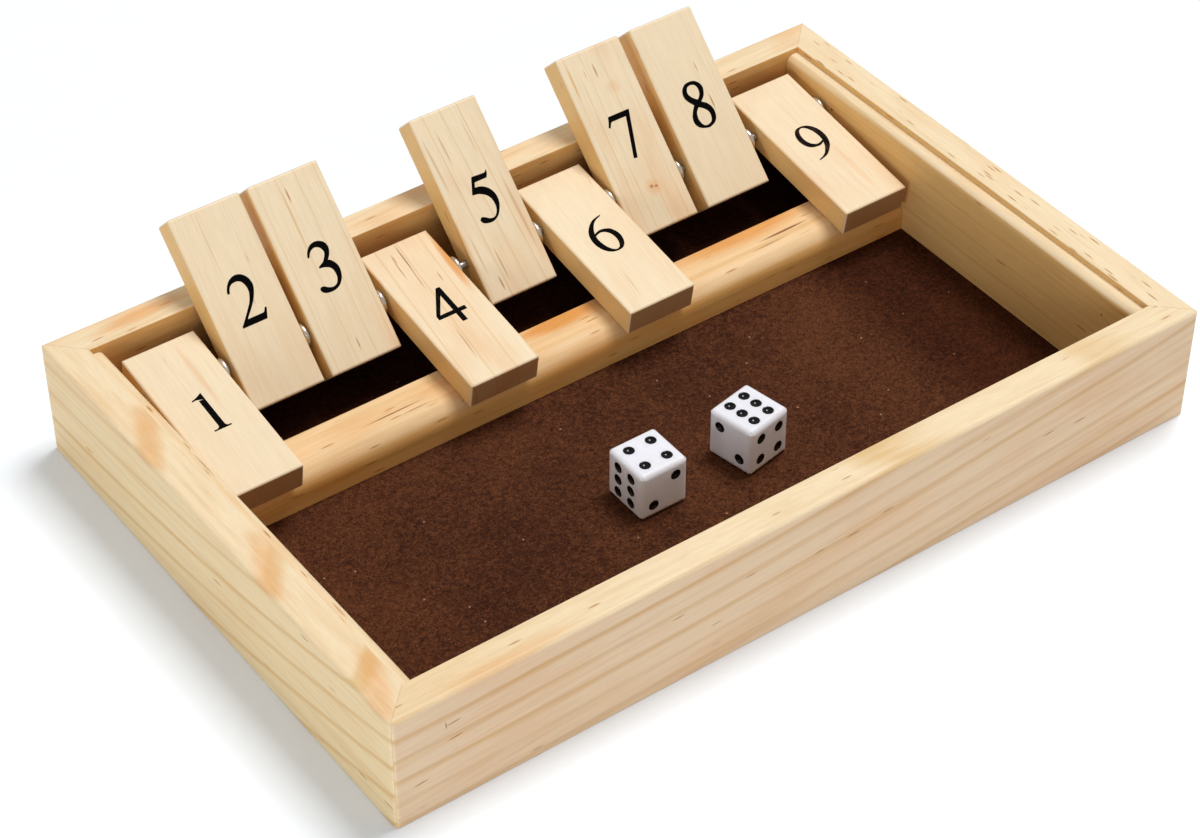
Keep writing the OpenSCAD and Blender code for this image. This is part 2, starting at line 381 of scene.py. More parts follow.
WALL_BOARDS = {
    "left_wall": {
        "line": (-140, 92, 24.4), "grain": (0, -1, 0.053), "bark": (-0.28, 0, 1), "ring": 9.9,
        "bow": -0.00059, "wander": 1.2, "soft": 0.74, "full": 0.86, "drop": 0.92,
        "strength": 0.54, "streak": 0.4, "warm": 0.12, "ducts": 0.06,
        "edges": (((1, 0, 0), "edge"), ((-1, 0, 0), "straw")),
        "marks": [  # orange bands that cross the rim aslant
            ((-132 - 3 * k, y - 7 * k, 39.5), (9, 3.6), "warm", 0.4)
            for y in (46, -17, -71)
            for k in range(3)
        ],
    },
    "front_wall": {
        "line": (0, -92, 22.7), "grain": (1, 0, 0.07), "bark": (0, -0.12, 1), "ring": 7.6,
        "rings": 14, "bow": -0.00026, "wander": 2.4, "soft": 0.55, "full": 0.85, "drop": 0.86,
        "strength": 0.48, "streak": 0.35, "warm": 0.15, "ducts": 0.08,
        "edges": (((0, 1, 0), "edge"), ((0, -1, 0), "tan")),
        "marks": (
            ((-123.5, -92, 29), (0.25, 1.7), "resin", 0.8),
            ((-100, -90, 39.5), (38, 2.5), "warm", 0.3),
            ((52, -86.5, 39.5), (40, 4), "pale", 0.75),
        ),
    },
    "right_wall": {
        "line": (134, 0, 38), "grain": (0.02, 1, 0), "bark": (0.6, 0, 0.8), "ring": 8.0,
        "strength": 0.12, "streak": 0.25, "warm": 0.2, "ducts": 0.85,
        "edges": (((-1, 0, 0), "edge"),),
    },
    "back_wall": {
        "line": (-100, 88, 39), "grain": (1, 0.05, 0.02), "bark": (0, 0.5, 0.87), "ring": 7.0,
        "wander": 4.0, "strength": 0.25, "streak": 0.35, "warm": 0.4, "ducts": 0.3,
        "edges": (((0, -1, 0), "inner"),),
        "marks": (((-110, 87, 39.5), (20, 3), "warm", 0.6),),
    },
}
# On the liners, edges give painted shade to the inner face, and on the rail to the front face
TRIM_BOARDS = {
    "left_liner": {
        "line": (-127, 0, 37), "grain": (0, 1, 0), "bark": (1, 0, 0.3), "ring": 5.0,
        "strength": 0.2, "warm": 0.5, "ducts": 0.6, "edges": (((1, 0, 0), "edge"),),
        "marks": (
            ((-127.5, 51, 37.5), (2.5, 0.6), "duct", 0.9),
            ((-127, 22, 37.5), (8, 0.6), "duct", 0.7),
            ((-127.5, -12, 37.5), (3, 0.5), "duct", 0.8),
            ((-126.5, -33, 37.5), (5, 0.5), "duct", 0.8),
            ((-127.3, -48, 37.5), (4, 0.5), "duct", 0.6),
        ),
    },
    "right_liner": {
        "line": (126, 0, 22), "grain": (0, 1, 0.01), "bark": (0.2, 0, 1), "ring": 7.0,
        "strength": 0.35, "streak": 0.35, "warm": 0.1, "ducts": 0.06,
        "edges": (((-1, 0, 0), "edge"),),
        "marks": (
            ((125.2, 58, 30), (0.6, 0.6), "resin", 0.9),
            ((125.2, -68, 29), (0.5, 0.4), "resin", 0.9),
        ),
    },
    "tile_rail": {
        "line": (60, 37.2, 17.6), "grain": (1, 0.015, 0), "bark": (0, 0.9, 0.44), "ring": 7.5,
        "wander": 2.5, "soft": 0.6, "strength": 0.3, "streak": 0.6, "warm": 0.35, "ducts": 0.4,
        "base": "rail", "edges": (((0, -1, 0), "edge"),),
        "marks": (
            ((2, 36, 17.6), (17, 6), "warm", 1.0),
            ((73, 37, 17.6), (32, 7), "warm", 0.9),
            ((-61, 29, 17.6), (12, 0.35), "resin", 0.9),
            ((-55, 27, 17.6), (7, 0.35), "resin", 0.7),
            ((84, 30, 17.6), (10, 0.6), "resin", 0.95),
            ((76, 27.5, 17.3), (9, 0.5), "resin", 0.9),
            ((90, 26, 16.9), (6, 0.4), "resin", 0.8),
        ),
    },
}


def paint_boards(boards, wood, seams=False):
    """Give each board of a table its own pine."""
    for node, board in boards.items():
        paint_node(node, pine("clear-sealed pine, " + node.replace("_", " "), wood, board, seams))


class SHUTBOX_OT_walls(bpy.types.Operator):
    """Give the four mitred walls their sealed pine"""

    bl_idname = "shutbox.walls"
    bl_label = "Walls"

    def execute(self, context):
        paint_boards(WALL_BOARDS, context.scene.shutbox_pine, seams=True)
        return {"FINISHED"}


class SHUTBOX_OT_trim(bpy.types.Operator):
    """Give the liners and the tile rail their sealed pine"""

    bl_idname = "shutbox.trim"
    bl_label = "Liners and rail"

    def execute(self, context):
        paint_boards(TRIM_BOARDS, context.scene.shutbox_pine)
        return {"FINISHED"}


# ---- base, felt and metal

PLY_PALE, PLY_LATE = srgb("DDBF92"), srgb("BE9058")
PLY_THICKNESS, GLUE_LINE = 1.5, 0.12
FIGURE_SIZE, FIGURE_BANDS = (110, 30, 30), 9.0


def plywood(name, wood):
    """Plywood for the base: rotary-cut pine veneer under and over crossed plies.

    Rotary cutting follows the rings, so they show as broad wavy figure on the face, where slow
    noise is cut into bands. The plies are bands on the edges, whose glue lines are darker.
    """
    material, add, place = new_material(name)
    figure = add("VectorMath", (place, FIGURE_SIZE), operation="DIVIDE")
    figure = add("TexNoise", (figure, 1.0, 2.0))
    waves = add("Math", (figure, FIGURE_BANDS), operation="MULTIPLY")
    waves = add("Math", (waves,), operation="FRACT")
    waves = add("MapRange", (waves, 0.35, 1.0, 0.0, 0.55), **SMOOTH)
    shade = add("Mix", (waves, PLY_PALE, PLY_LATE), **BLEND)
    height = add("SeparateXYZ", (place,)).outputs["Z"]
    glue = add("Math", (height, PLY_THICKNESS / 2), operation="PINGPONG")
    glue = add("MapRange", (glue, 0.0, GLUE_LINE, 0.5, 0.0), **SMOOTH)
    shade = add("Mix", (glue, shade, wood.resin), **BLEND)
    size, detail = PINE_NOISE["fibre"]
    fibre = add("VectorMath", (place, size), operation="DIVIDE")
    fibre = add("TexNoise", (fibre, 1.0, detail))
    thread = add("MapRange", (fibre, 0.25, 0.75, 0.88, 1.0), **SMOOTH)
    shade = add("Mix", (1.0, shade, thread), **TINT)
    bump = add("Bump", {"Height": fibre, "Strength": 0.4, "Distance": 0.08 * MM})
    shader = add("BsdfPrincipled", {"Base Color": shade, "Roughness": 0.7, "Normal": bump})
    add("OutputMaterial", (shader,))
    return material


FELT_NOISE = {  # size, how much fine detail, and how far it curls
    "patches": (45, 2.0, 0.5),
    "tufts": (1.2, 2.0, 1.0),
    "fibres": (0.8, 2.0, 3.0),
}
LINT_SPACING, LINT_SHARE = 9, 0.12
# Painted shade that the felt is multiplied by in the well under the tiles, and how far its edge
# blurs; and a painted shadow of the right wall that darkens the right end, and where it comes in
WELL_PAINTED_SHADE, WELL_BLUR = srgb("A08C80"), 2
RIGHT_END_PAINTED_SHADOW, RIGHT_END_SHADOW_REACH = srgb("C9B8AC"), (78, 100)


def pressed_felt(name, felt):
    """Pressed wool felt with a short nap.

    Slow noise gives patches where the nap lies another way, fine noise the matted fibres, and
    scattered small dots are lint. The fibres are drawn nearly a millimetre long, coarser than
    real wool, so that they show. Wool has hardly any gloss, and sheen softens it at a grazing
    angle. Painted shade darkens the felt in the well under the tiles, and a painted shadow of
    the right wall darkens the right end of the tray.
    """
    material, add, place = new_material(name)
    noise = {}
    for key, (size, detail, curl) in FELT_NOISE.items():
        inputs = {"Vector": place, "Scale": 1 / size, "Detail": detail, "Distortion": curl}
        noise[key] = add("TexNoise", inputs)
    lie = add("Math", (noise["patches"], 0.22), operation="MULTIPLY")
    lie = add("Math", (noise["tufts"], 0.5, lie), operation="MULTIPLY_ADD")
    lie = add("MapRange", (lie, 0.23, 0.49, 0.0, 1.0), **SMOOTH)
    shade = add("Mix", (lie, felt.dark, felt.light), **BLEND)
    thread = add("MapRange", (noise["fibres"], 0.3, 0.7, 0.4, 1.3), **SMOOTH)
    shade = add("Mix", (1.0, shade, thread), **TINT)
    dots = add("TexVoronoi", (place, 1 / LINT_SPACING), voronoi_dimensions="2D")
    pick = add("SeparateColor", (dots.outputs["Color"],))
    chosen = add("Math", (pick, 1 - LINT_SHARE), operation="GREATER_THAN")
    lint = add("MapRange", (dots, 0.02, 0.045, 0.6, 0.0), **SMOOTH)
    lint = add("Math", (lint, chosen), operation="MULTIPLY")
    shade = add("Mix", (lint, shade, felt.lint), **BLEND)
    # Painted shade in the well behind the rail, where the tiles shade the felt
    well_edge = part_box("tile_rail")[1].y / MM
    parts = add("SeparateXYZ", (place,)).outputs
    well_shade = (parts["Y"], well_edge - WELL_BLUR, well_edge + WELL_BLUR)
    well_shade = add("MapRange", well_shade, **SMOOTH)
    shade = add("Mix", (well_shade, shade, WELL_PAINTED_SHADE), **TINT)
    # Painted shadow of the right wall towards the right end of the tray
    end = add("MapRange", (parts["X"], *RIGHT_END_SHADOW_REACH), **SMOOTH)
    shade = add("Mix", (end, shade, RIGHT_END_PAINTED_SHADOW), **TINT)
    height = add("Math", (noise["tufts"], 1.2, noise["fibres"]), operation="MULTIPLY_ADD")
    bump = add("Bump", {"Height": height, "Strength": 0.8, "Distance": 0.25 * MM})
    inputs = {
        "Base Color": shade, "Roughness": 0.95, "Specular IOR Level": 0.08, "Normal": bump,
        "Sheen Weight": 0.04, "Sheen Roughness": 0.5, "Sheen Tint": srgb("A87860"),
    }
    add("OutputMaterial", (add("BsdfPrincipled", inputs),))
    return material


def worked_metal(name, tint, roughness, marks_mm):
    """Bare or plated metal. Fine marks left by drawing or polishing vary its gloss."""
    material, add, place = new_material(name)
    marks = add("VectorMath", (place, marks_mm), operation="DIVIDE")
    marks = add("TexNoise", (marks, 1.0, 3.0))
    wear = add("MapRange", (marks, 0.3, 0.7, 0.86, 1.0), **SMOOTH)
    shade = add("Mix", (1.0, tint, wear), **TINT)
    gloss = add("MapRange", (marks, 0.3, 0.7, roughness * 0.75, roughness * 1.3), **SMOOTH)
    bump = add("Bump", {"Height": marks, "Strength": 0.2, "Distance": 0.01 * MM})
    inputs = {"Base Color": shade, "Metallic": 1.0, "Roughness": gloss, "Normal": bump}
    add("OutputMaterial", (add("BsdfPrincipled", inputs),))
    return material


class SHUTBOX_OT_floor(bpy.types.Operator):
    """Give the base board its plywood and the tray its felt"""

    bl_idname = "shutbox.floor"
    bl_label = "Base and felt"

    def execute(self, context):
        scene = context.scene
        paint_node("base_board", plywood("pine plywood, base", scene.shutbox_pine))
        paint_node("felt_floor", pressed_felt("pressed brown felt", scene.shutbox_felt))
        return {"FINISHED"}


class SHUTBOX_OT_hardware(bpy.types.Operator):
    """Give the rod its drawn steel and the spacers their nickel plate"""

    bl_idname = "shutbox.hardware"
    bl_label = "Rod and spacers"

    def execute(self, context):
        metal = context.scene.shutbox_metal
        rod = worked_metal("drawn steel rod", metal.steel, 0.32, (12, 0.12, 0.12))
        paint_node("pivot_rod", rod)
        plate = worked_metal("polished nickel plate", metal.nickel, 0.28, (3, 3, 3))
        for i in range(1, SPACER_COUNT + 1):
            paint_node(f"spacer_{i}", plate)
        return {"FINISHED"}


# ---- tiles

# Each tile: where a growth line crosses its face, as millimetres right of its middle, the slope
# of the lines, the side that the bark was on, the width of a ring, and how much latewood, orange
# and resin ducts show. Its own marks are millimetres right of and above the middle of the face.
TILE_KEYS = ("line", "slope", "bark", "ring", "strength", "warm", "ducts")
TILE_BOARDS = {
    1: (9, 0.02, (1, 0.5), 9.0, 0.06, 0.05, 0.04),
    2: (-4, 0.01, (1, 0.9), 8.0, 0.1, 0.15, 0.04),
    3: (-2.5, 0.0, (1, 0.2), 6.5, 0.25, 0.15, 0.04),
    4: (-1, 0.08, (1, 0.25), 7.5, 0.4, 0.3, 0.05),
    5: (-5.5, -0.05, (1, -0.2), 6.0, 0.4, 0.3, 0.1),
    6: (-7, 0.1, (-1, 0.5), 8.0, 0.08, 0.15, 0.08),
    7: (-9.5, 0.01, (1, 0.2), 6.2, 0.25, 0.3, 0.15),
    8: (-8.5, -0.02, (1, 0.6), 7.5, 0.06, 0.05, 0.04),
    9: (1, 0.0, (1, 0.3), 9.0, 0.12, 0.18, 0.04),
}
TILE_MARKS = {
    1: (((4, 14), (16, 1.2), "warm", 0.3),),
    2: (((-3.5, 20), (10, 0.4), "late", 0.3),),
    3: (((-2.5, 17), (12, 0.4), "late", 0.45),),
    4: (
        ((0, 8), (45, 16), "warm", 0.15),
        ((11.2, 16), (16, 2), "warm", 0.9),
        ((-0.5, 23), (8, 0.3), "resin", 0.85),
        ((-1.4, 14), (6, 0.25), "resin", 0.6),
        ((-4, 20), (5, 0.25), "resin", 0.6),
        ((-3.6, -15), (9, 0.25), "resin", 0.75),
    ),
    5: (
        ((-10, 14), (11, 0.5), "duct", 0.4),
        ((-9.3, -15), (8, 0.45), "duct", 0.35),
        ((-5, 19), (7, 0.35), "duct", 0.55),
        ((4.3, 19), (7, 0.35), "duct", 0.3),
        ((-3.5, -20), (6, 0.3), "resin", 0.45),
        ((9.2, -7), (15, 0.7), "duct", 0.4),
    ),
    6: (((-4.3, -20), (8, 0.3), "duct", 0.3),),
    7: (
        ((0.7, -16.9), (0.7, 0.9), "resin", 0.9),
        ((2.2, -17.3), (0.6, 0.9), "resin", 0.9),
        ((1.3, -17.2), (3.5, 3.5), "warm", 0.4),
        ((-9.3, 22), (7, 0.5), "late", 0.6),
        ((3, 16), (3, 3), "warm", 0.2),
        ((-6.5, 0), (34, 0.3), "late", 0.3),
    ),
    9: (((3.5, -14), (16, 1.3), "warm", 0.2), ((0, 0), (60, 30), "warm", 0.06)),
}


def tile_frame(i):
    """Where tile i rests: its centre, its three directions and its size, in metres.

    The directions are right, up and out of the face that shows: out is the normal of its largest
    flat side, and up is the way along the tile that runs to the back, which is how a numeral
    stands. The size is the spread of the solid's corners along each direction.
    """
    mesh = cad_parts[f"tile_{i}"].data
    corners = np.zeros(len(mesh.vertices) * 3)
    mesh.vertices.foreach_get("co", corners)
    normals, areas = np.zeros(len(mesh.polygons) * 3), np.zeros(len(mesh.polygons))
    mesh.polygons.foreach_get("normal", normals)
    mesh.polygons.foreach_get("area", areas)
    kinds, which = np.unique(normals.reshape(-1, 3).round(3), axis=0, return_inverse=True)
    shares = np.bincount(which.ravel(), weights=areas) * (kinds[:, 2] > 0)
    out = kinds[np.argmax(shares)]
    out = out / np.linalg.norm(out)
    right = np.array([1.0, 0.0, 0.0])
    axes = np.stack([right, np.cross(out, right), out])
    spread = corners.reshape(-1, 3) @ axes.T
    low, high = spread.min(0), spread.max(0)
    return (low + high) / 2 @ axes, axes, high - low


def tile_board(i):
    """The log of tile i, turned from the tile's own directions into the frame's."""
    centre, (right, up, out), size = tile_frame(i)
    board = dict(zip(TILE_KEYS, TILE_BOARDS[i]))
    side, tilt = board["bark"]
    face = (centre + out * size[2] / 2) / MM
    return {
        "base": "tile", "rings": 9, "wander": 2.5, "soft": 0.85, "streak": 0.08, **board,
        "line": face + right * board["line"],
        "grain": up + right * board["slope"],
        "bark": right * side + out * tilt,
        # Painted shade on both sides of the tile
        "edges": ((right, "edge"), (-right, "edge")),
        "marks": [(face + right * x + up * y, *mark) for (x, y), *mark in TILE_MARKS.get(i, ())],
    }


class SHUTBOX_OT_tiles(bpy.types.Operator):
    """Give the nine tiles their sealed pine, each from its own place in the log"""

    bl_idname = "shutbox.tiles"
    bl_label = "Tiles"

    def execute(self, context):
        for i in range(1, TILE_COUNT + 1):
            wood = pine(f"clear-sealed pine, tile {i}", context.scene.shutbox_pine, tile_board(i))
            paint_node(f"tile_{i}", wood)
        return {"FINISHED"}


# ---- numerals

# The strokes of the numerals for a height of 15. Each row is a point on one edge of a stroke and
# the point facing it on the other, as x and y from the middle of the foot. Two rows make a
# straight bar, and more rows make a smooth stroke.
DRAWN_HEIGHT = 15.0
SIX = (
    (
        (4.3, 15.3, 4.15, 14.85), (2.45, 14.95, 2.7, 14.4), (0.65, 14.35, 1.1, 13.5),
        (-1.2, 13, -0.2, 12.15), (-2.8, 11.3, -1.2, 10.7), (-3.85, 9.35, -2, 8.8),
        (-4.4, 7.1, -2.35, 6.9), (-4.35, 5.05, -2.25, 5.2), (-3.9, 3.2, -1.85, 3.35),
        (-2.8, 1.4, -1.2, 2), (-1.3, 0.35, -0.4, 1.05), (0.4, 0, 0.5, 0.7), (2.35, 0.35, 1.65, 1.2),
        (3.7, 1.55, 2.45, 2.55), (4.6, 3.45, 2.85, 4.1), (4.85, 5.5, 2.85, 5.7),
        (4.5, 7.3, 2.45, 7.1), (3.6, 8.8, 1.65, 8.2), (2.25, 9.6, 0.4, 8.85),
        (0.75, 9.9, -0.6, 8.8), (-0.6, 9.75, -1.75, 8.4), (-2, 9.1, -2.5, 8),
    ),
)
NUMERALS = {
    "1": (
        ((-0.92, 12.3, 1.03, 12.3), (-0.92, 1.7, 1.03, 1.7)),
        (
            (-0.93, 1.9, 1.03, 1.9), (-1.05, 1.1, 1.13, 1.1), (-1.45, 0.7, 1.45, 0.7),
            (-2.2, 0.42, 2, 0.42),
        ),
        ((-2.95, 0.5, -2.95, 0), (2.65, 0.5, 2.65, 0)),
        (
            (-2.75, 13.2, -2.7, 12.75), (-1.6, 13.55, -1.6, 12.95), (-0.4, 14.05, -0.4, 12.6),
            (1.03, 14.85, 1.03, 12.2),
        ),
    ),
    "2": (
        (
            (-4.55, 10.85, -3.8, 10.7), (-4.2, 12, -3.35, 11.85), (-3.3, 13.5, -2.6, 12.85),
            (-1.9, 14.7, -1.5, 13.3), (-0.1, 15.25, -0.2, 13.3), (1.75, 14.8, 0.85, 12.8),
            (3.25, 13.4, 1.6, 11.6), (3.95, 11.3, 1.9, 10.2), (3.6, 9.35, 1.7, 8.65),
            (2.4, 7, 0.75, 6.55), (0.75, 4.9, -0.65, 4.75), (-1.5, 2.55, -3, 2.1),
            (-3.3, 0.4, -4.6, 0.35),
        ),
        ((-3.2, 1.85, -4.6, 0), (-1.8, 2, -2, 0), (1.5, 2, 1.5, 0), (3.4, 2.05, 3.7, 0)),
        ((3.1, 1.9, 3.7, 0), (3.65, 2.25, 4.2, 1.35), (4.35, 3.35, 4.9, 3.15)),
    ),
    "3": (
        (
            (-3.8, 11.4, -3.2, 11.25), (-3.15, 12.95, -2.6, 12.25), (-1.75, 14.5, -1.6, 13.2),
            (0.05, 15.1, -0.35, 13.5), (1.85, 14.8, 0.9, 13.05), (3.25, 13.7, 1.65, 12),
            (3.7, 12.15, 1.8, 11.2), (3.25, 10.5, 1.45, 10.3), (2.15, 8.9, 0.6, 9.1),
            (0.6, 7.6, -0.3, 8.3),
        ),
        (
            (-1.7, 7.75, -1.7, 7.25), (0.05, 8.5, -0.35, 7.1), (2.1, 8.6, 1.15, 6.55),
            (3.4, 7.5, 2, 5.75), (4.2, 5.9, 2.35, 4.5), (4.2, 4.2, 2.35, 3.1),
            (3.55, 2.25, 1.85, 1.85), (2.15, 0.6, 1.15, 1.15), (0.3, -0.25, -0.1, 0.8),
            (-1.6, -0.35, -1.45, 1.15), (-3.2, 0, -2.6, 1.85), (-4, 0.65, -3.3, 2.05),
            (-4.3, 1.4, -3.85, 2),
        ),
    ),
    "4": (
        ((0.45, 14, 2.2, 14), (0.45, -0.3, 2.2, -0.3)),
        ((0.8, 14.9, 2.1, 14.9), (0.45, 13.9, 2.2, 13.9)),
        ((0.75, 14.85, 1.2, 12.9), (-5.4, 5.1, -4.1, 4.9)),
        ((-5.4, 4.98, -5.4, 3.45), (4.45, 4.98, 4.45, 3.45)),
    ),
    "5": (
        ((-0.7, 14.45, -1.3, 12.6), (3.9, 14.2, 4.1, 12.6)),
        ((3.7, 14.2, 3.9, 12.6), (4.35, 14.5, 4.45, 13.4), (4.85, 14.95, 4.9, 14.75)),
        ((-0.8, 14.3, 0.3, 14.3), (-2.9, 9.35, -1.8, 9.35)),
        (
            (-1.6, 11.15, -2.9, 9.25), (0.5, 10.9, -0.8, 8.9), (2, 10.25, 0.6, 8.25),
            (3.5, 8.95, 1.85, 7.25), (4.45, 6.85, 2.6, 5.9), (4.5, 5.05, 2.85, 4.2),
            (3.95, 3.1, 2.65, 2.8), (2.55, 1, 1.85, 1.4), (0.9, -0.1, 0.75, 0.7),
            (-0.9, -0.4, -0.65, 0.85), (-2.7, -0.05, -1.75, 1.55), (-3.6, 0.55, -2.75, 2.05),
            (-3.95, 1.35, -3.4, 2),
        ),
    ),
    "6": SIX,
    "7": (
        ((-3.25, 14.9, -3.2, 13.1), (4.6, 14.9, 3.9, 13.1)),
        ((-3.3, 14.85, -2.2, 13.15), (-3.75, 13.5, -2.95, 12.95), (-4.6, 11.7, -4.05, 11.4)),
        ((2.75, 13.4, 4.6, 14.7), (-0.95, 0.15, 0.35, -0.1)),
    ),
    "8": (
        (
            (0, 15.2, 0, 14.1), (-1.65, 14.95, -1.2, 13.8), (-3.1, 13.9, -1.85, 13),
            (-3.85, 12.4, -2.1, 12), (-3.8, 10.75, -1.65, 10.85), (-2.9, 9.15, -0.75, 9.8),
            (-1.65, 7.75, 0.4, 9), (-0.7, 6.85, 1.45, 7.9), (0.85, 5.85, 2.8, 7),
            (2, 4.7, 3.8, 5.6), (2.4, 3.45, 4.25, 4), (2.2, 2.1, 3.95, 2), (1.55, 1.05, 2.8, 0.5),
            (0.3, 0.6, 1.1, -0.25), (0, 0.55, 0, -0.4),
        ),
        (
            (0, 15.2, 0, 14.1), (1.75, 14.9, 1.2, 13.75), (3.25, 13.7, 1.9, 12.8),
            (3.8, 12, 2, 11.4), (3.35, 10.3, 1.55, 10.15), (2.45, 9, 0.5, 9.1),
            (0.4, 7.4, -0.9, 8.5), (-0.75, 6.5, -1.9, 7.55), (-1.75, 5.5, -3.1, 6.05),
            (-2.2, 4.15, -4, 4.5), (-2.25, 3, -4.25, 2.75), (-1.85, 1.65, -3.6, 1.2),
            (-1.05, 0.75, -2.1, 0.15), (0, 0.5, 0, -0.4),
        ),
    ),
}
# A nine is a six that is turned half round
NUMERALS["9"] = tuple(
    tuple((-x1, DRAWN_HEIGHT - y1, -x2, DRAWN_HEIGHT - y2) for x1, y1, x2, y2 in rows)
    for rows in SIX
)
STROKE_STEPS = 6  # points between two rows of a stroke
STROKE_LIFT = 0.002 * MM  # crossing strokes lie one over another by this much
INK_WEAR = {9: 0.22}  # numerals that printed thinner than the rest
USUAL_WEAR = 0.06


def stroke_edges(rows):
    """Both edges of a stroke as a smooth Catmull-Rom curve through its rows.

    Between rows b and c, with a before and d after, the point at share t is half of
    2b + (c - a)t + (2a - 5b + 4c - d)t^2 + (3b - a - 3c + d)t^3. The end rows are mirrored.
    """
    p = np.concatenate([[2 * rows[0] - rows[1]], rows, [2 * rows[-1] - rows[-2]]])
    a, b, c, d = (p[k : len(p) - 3 + k, None, :] for k in range(4))
    t = np.linspace(0, 1, STROKE_STEPS, endpoint=False)[None, :, None]
    curve = 2 * b + (c - a) * t + (2 * a - 5 * b + 4 * c - d) * t**2
    curve = curve + (3 * b - a - 3 * c + d) * t**3
    return np.concatenate([curve.reshape(-1, 4) / 2, rows[-1:]])


def stroke_prism(rows, low, high):
    """Closed prism of a stroke: its edges carried from the height low to the height high.

    Each row of the stroke gives four corners, left high, left low, right low and right high, and
    quads join each row to the next and close both ends. The sum of x1 y2 - x2 y1 round the
    outline tells which edge is the left one.
    """
    edges = stroke_edges(rows)
    loop = np.concatenate([edges[:, :2], edges[::-1, 2:]])
    after = np.roll(loop, -1, axis=0)
    turning = np.sum(loop[:, 0] * after[:, 1] - loop[:, 1] * after[:, 0])
    left, right = (edges[:, :2], edges[:, 2:]) if turning < 0 else (edges[:, 2:], edges[:, :2])
    count = len(edges)
    heights = [np.full((count, 1), height) for height in (high, low, low, high)]
    sides = zip((left, left, right, right), heights)
    corners = [np.hstack([side, height]) for side, height in sides]
    row, corner = np.meshgrid(np.arange(count - 1) * 4, np.arange(4), indexing="ij")
    nearby = (corner + 1) % 4
    quads = np.stack([row + 4 + corner, row + 4 + nearby, row + nearby, row + corner], axis=-1)
    last = (count - 1) * 4
    ends = [[0, 1, 2, 3], [last + 3, last + 2, last + 1, last]]
    return np.stack(corners, axis=1).reshape(-1, 3), np.concatenate([quads.reshape(-1, 4), ends])


def make_piece(name, shells, material, body, smooth=False):
    """A mesh object at the origin, made of closed shells of points and faces, riding on a body."""
    starts = np.cumsum([0] + [len(points) for points, _ in shells[:-1]])
    points = np.concatenate([points for points, _ in shells])
    faces = np.concatenate([faces + start for (_, faces), start in zip(shells, starts)])
    mesh = bpy.data.meshes.new(name)
    mesh.from_pydata(points.tolist(), [], faces.tolist())
    mesh.polygons.foreach_set("use_smooth", np.full(len(mesh.polygons), smooth))
    mesh.update()
    mesh.materials.append(material)
    piece = bpy.data.objects.new(name, mesh)
    bpy.context.scene.collection.objects.link(piece)
    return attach(piece, body)


def printed_ink(name, ink, board, wear):
    """Black ink screen-printed on sealed pine: matt, and brown where the grain shows through."""
    material, add, place = new_material(name)
    inputs = {"Vector": place, "Rotation": log_of({**BOARD, **board}).to_euler()}
    at = add("Mapping", inputs, vector_type="TEXTURE")
    fibre = add("VectorMath", (at, PINE_NOISE["fibre"][0]), operation="DIVIDE")
    fibre = add("TexNoise", (fibre, 1.0, 3.0))
    bare = add("MapRange", (fibre, 0.68 - wear, 0.86 - wear), **SMOOTH)
    shade = add("Mix", (bare, ink.black, ink.thin), **BLEND)
    gloss = add("MapRange", (fibre, 0.3, 0.7, 0.6, 0.75), **SMOOTH)
    bump = add("Bump", {"Height": fibre, "Strength": 0.25, "Distance": 0.03 * MM})
    inputs = {"Base Color": shade, "Roughness": gloss, "Specular IOR Level": 0.03, "Normal": bump}
    add("OutputMaterial", (add("BsdfPrincipled", inputs),))
    return material


class SHUTBOX_OT_numerals(bpy.types.Operator):
    """Print a numeral on both faces of each tile"""

    bl_idname = "shutbox.numerals"
    bl_label = "Numerals"

    def execute(self, context):
        ink = context.scene.shutbox_ink
        for i in range(1, TILE_COUNT + 1):
            wear = INK_WEAR.get(i, USUAL_WEAR)
            material = printed_ink(f"screen-printed ink, {i}", ink, tile_board(i), wear)
            centre, axes, size = tile_frame(i)
            for face, turned in (("top", 1.0), ("under", -1.0)):
                shells = []
                for k, rows in enumerate(NUMERALS[str(i)]):
                    flat = np.array(rows) * ink.height / DRAWN_HEIGHT
                    flat[:, 1::2] += ink.rise - ink.height / 2
                    high = size[2] / 2 + ink.proud + k * STROKE_LIFT
                    points, faces = stroke_prism(flat, size[2] / 2 - ink.sunk, high)
                    shells.append((points * (1, turned, turned) @ axes + centre, faces))
                make_piece(f"tile_{i}_numeral_{face}", shells, material, f"tile_{i}")
        return {"FINISHED"}


# ---- dice

# How each number's face is turned from the top face of a die, about X then Y, in degrees
DIE_FACES = {4: (0, 0), 3: (180, 0), 2: (90, 0), 5: (-90, 0), 6: (0, -90), 1: (0, 90)}
DIE_ROLLS = {"left_die": (0, 0), "right_die": (90, 90)}
PIP_RINGS, PIP_SPOKES = 8, 32
PAINT_MARGIN = 0.02 * MM  # the paint stops this far below the face
RUB_SIZE, RIPPLE_SIZE = (1.5, 1.5, 1.5), (0.7, 0.7, 0.7)
PAINT_THIN = srgb("101014")


def moulded_plastic(name, dice):
    """Moulded and tumbled white plastic: soft gloss, a little translucent, with faint rub marks."""
    material, add, place = new_material(name)
    rubs = add("VectorMath", (place, RUB_SIZE), operation="DIVIDE")
    rubs = add("TexNoise", (rubs, 1.0, 4.0))
    wear = add("MapRange", (rubs, 0.3, 0.7, 0.975, 1.0), **SMOOTH)
    shade = add("Mix", (1.0, dice.plastic, wear), **TINT)
    gloss = add("MapRange", (rubs, 0.3, 0.7, 0.42, 0.55), **SMOOTH)
    inputs = {
        "Base Color": shade, "Roughness": gloss, "IOR": 1.5,
        "Subsurface Weight": 0.4, "Subsurface Radius": (1.0, 1.0, 1.0), "Subsurface Scale": 3 * MM,
    }
    add("OutputMaterial", (add("BsdfPrincipled", inputs),))
    return material


